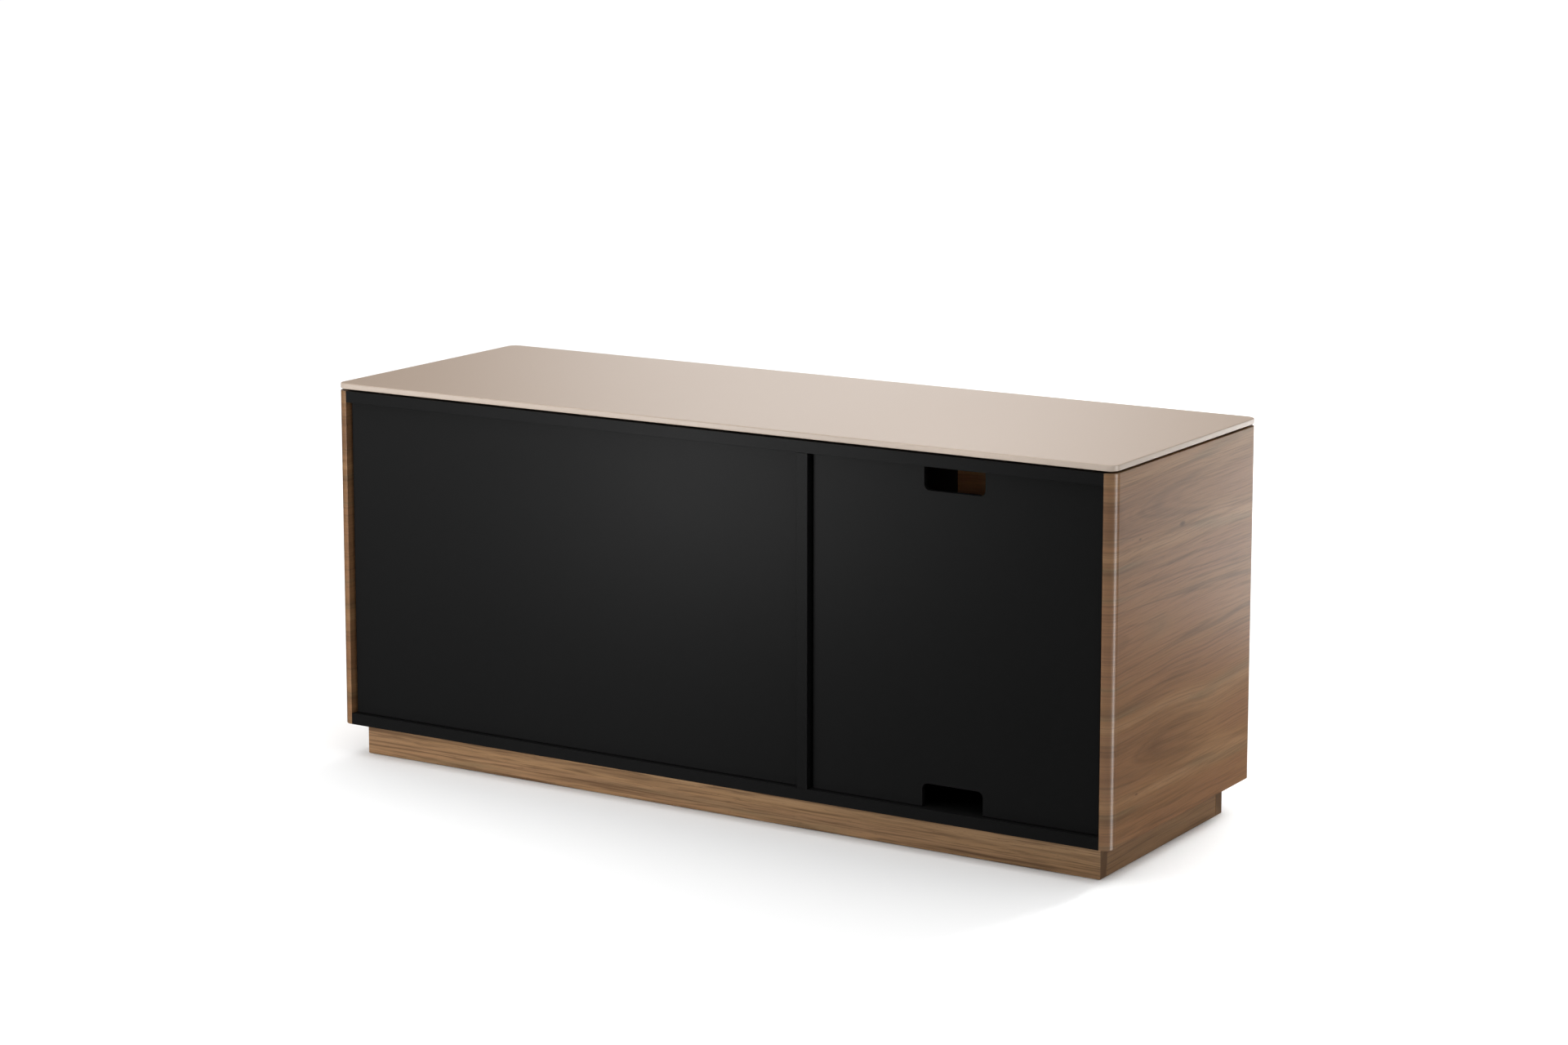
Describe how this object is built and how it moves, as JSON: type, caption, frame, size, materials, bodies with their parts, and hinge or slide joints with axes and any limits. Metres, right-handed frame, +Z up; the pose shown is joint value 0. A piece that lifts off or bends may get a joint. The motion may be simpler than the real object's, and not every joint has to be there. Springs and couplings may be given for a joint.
{
  "type": "media cabinet",
  "caption": "Low walnut media cabinet with a satin glass top, push-open doors, adjustable shelves, a black interior and a pull-off back panel with cable notches.",
  "frame": {"origin": "on the floor, below the middle of the cabinet", "axes": "+Z up; +X along the cabinet's length towards the wide bay; the doors face -Y and the back panels face +Y"},
  "size_m": [1.524, 0.525, 0.673],
  "materials": {
    "walnut": "satin lacquered walnut veneer, grain horizontal",
    "black_board": "satin black lacquer on board",
    "top_glass": "satin-etched, painted taupe underneath",
    "black_steel": "black powder coat",
    "bright_steel": "nickel plated",
    "latch_plastic": "moulded",
    "nylon": "moulded",
    "bumper": "soft silicone"
  },
  "bodies": {
    "carcass": {"top_board": "black_board", "bottom_board": "black_board", "side_panel_left": "walnut", "side_panel_right": "walnut", "partition": "black_board", "glass_top": "top_glass", "glass_bumper_front_left": "bumper", "glass_bumper_front_right": "bumper", "glass_bumper_back_left": "bumper", "glass_bumper_back_right": "bumper", "plinth_front": "walnut", "plinth_back": "walnut", "plinth_left": "walnut", "plinth_right": "walnut", "plinth_brace": "black_board", "back_panel_wide": "black_board", "cleat_narrow_side": "black_board", "cleat_narrow_partition": "black_board", "cleat_wide_partition": "black_board", "cleat_wide_side": "black_board", "pivot_plate_left_top": "black_steel", "pivot_plate_left_bottom": "black_steel", "latch_housing_left": "latch_plastic", "pivot_plate_middle_top": "black_steel", "pivot_plate_middle_bottom": "black_steel", "latch_housing_middle": "latch_plastic", "pivot_plate_right_top": "black_steel", "pivot_plate_right_bottom": "black_steel", "latch_housing_right": "latch_plastic", "shelf_pin_narrow_front_left": "bright_steel", "shelf_pin_narrow_front_right": "bright_steel", "shelf_pin_narrow_back_left": "bright_steel", "shelf_pin_narrow_back_right": "bright_steel", "shelf_pin_wide_front_left": "bright_steel", "shelf_pin_wide_front_right": "bright_steel", "shelf_pin_wide_back_left": "bright_steel", "shelf_pin_wide_back_right": "bright_steel"},
    "door_left": {"door_left": "walnut", "bush_left_top": "nylon", "bush_left_bottom": "nylon", "strike_left": "bright_steel"},
    "door_middle": {"door_middle": "walnut", "bush_middle_top": "nylon", "bush_middle_bottom": "nylon", "strike_middle": "bright_steel"},
    "door_right": {"door_right": "walnut", "bush_right_top": "nylon", "bush_right_bottom": "nylon", "strike_right": "bright_steel"},
    "plunger_left": {"plunger_left": "bright_steel"},
    "plunger_middle": {"plunger_middle": "bright_steel"},
    "plunger_right": {"plunger_right": "bright_steel"},
    "shelf_narrow": {"shelf_narrow": "black_board"},
    "shelf_wide": {"shelf_wide": "black_board"},
    "back_panel_narrow": {"back_panel_narrow": "black_board"},
    "foot_front_left": {"foot_front_left": "black_steel"},
    "foot_front_right": {"foot_front_right": "black_steel"},
    "foot_back_left": {"foot_back_left": "black_steel"},
    "foot_back_right": {"foot_back_right": "black_steel"},
    "foot_middle": {"foot_middle": "black_steel"}
  },
  "joints": [
    {"name": "door_left_swing", "type": "hinge", "parent": "carcass", "child": "door_left", "pos_m": [-0.732, -0.2565, 0.36], "axis": [0, 0, -1], "range_deg": [0, 95]},
    {"name": "door_middle_swing", "type": "hinge", "parent": "carcass", "child": "door_middle", "pos_m": [-0.1885, -0.2565, 0.36], "axis": [0, 0, -1], "range_deg": [0, 95]},
    {"name": "door_right_swing", "type": "hinge", "parent": "carcass", "child": "door_right", "pos_m": [0.732, -0.2565, 0.36], "axis": [0, 0, 1], "range_deg": [0, 95]},
    {"name": "plunger_left_push", "type": "slide", "parent": "carcass", "child": "plunger_left", "axis": [0, 1, 0], "range_m": [0, 0.004], "stiffness_N_per_m": 300, "springref_m": -0.004},
    {"name": "plunger_middle_push", "type": "slide", "parent": "carcass", "child": "plunger_middle", "axis": [0, 1, 0], "range_m": [0, 0.004], "stiffness_N_per_m": 300, "springref_m": -0.004},
    {"name": "plunger_right_push", "type": "slide", "parent": "carcass", "child": "plunger_right", "axis": [0, 1, 0], "range_m": [0, 0.004], "stiffness_N_per_m": 300, "springref_m": -0.004},
    {"name": "shelf_narrow_lift", "type": "slide", "parent": "carcass", "child": "shelf_narrow", "axis": [0, 0, 1], "range_m": [0, 0.03]},
    {"name": "shelf_wide_lift", "type": "slide", "parent": "carcass", "child": "shelf_wide", "axis": [0, 0, 1], "range_m": [0, 0.03]},
    {"name": "back_panel_pull", "type": "slide", "parent": "carcass", "child": "back_panel_narrow", "axis": [0, 1, 0], "range_m": [0, 0.12]},
    {"name": "foot_front_left_turn", "type": "hinge", "parent": "carcass", "child": "foot_front_left", "pos_m": [-0.676, -0.165, 0], "axis": [0, 0, 1], "continuous": true},
    {"name": "foot_front_right_turn", "type": "hinge", "parent": "carcass", "child": "foot_front_right", "pos_m": [0.676, -0.165, 0], "axis": [0, 0, 1], "continuous": true},
    {"name": "foot_back_left_turn", "type": "hinge", "parent": "carcass", "child": "foot_back_left", "pos_m": [-0.676, 0.1771, 0], "axis": [0, 0, 1], "continuous": true},
    {"name": "foot_back_right_turn", "type": "hinge", "parent": "carcass", "child": "foot_back_right", "pos_m": [0.676, 0.1771, 0], "axis": [0, 0, 1], "continuous": true},
    {"name": "foot_middle_turn", "type": "hinge", "parent": "carcass", "child": "foot_middle", "pos_m": [-0.157, 0, 0], "axis": [0, 0, 1], "continuous": true}
  ]
}
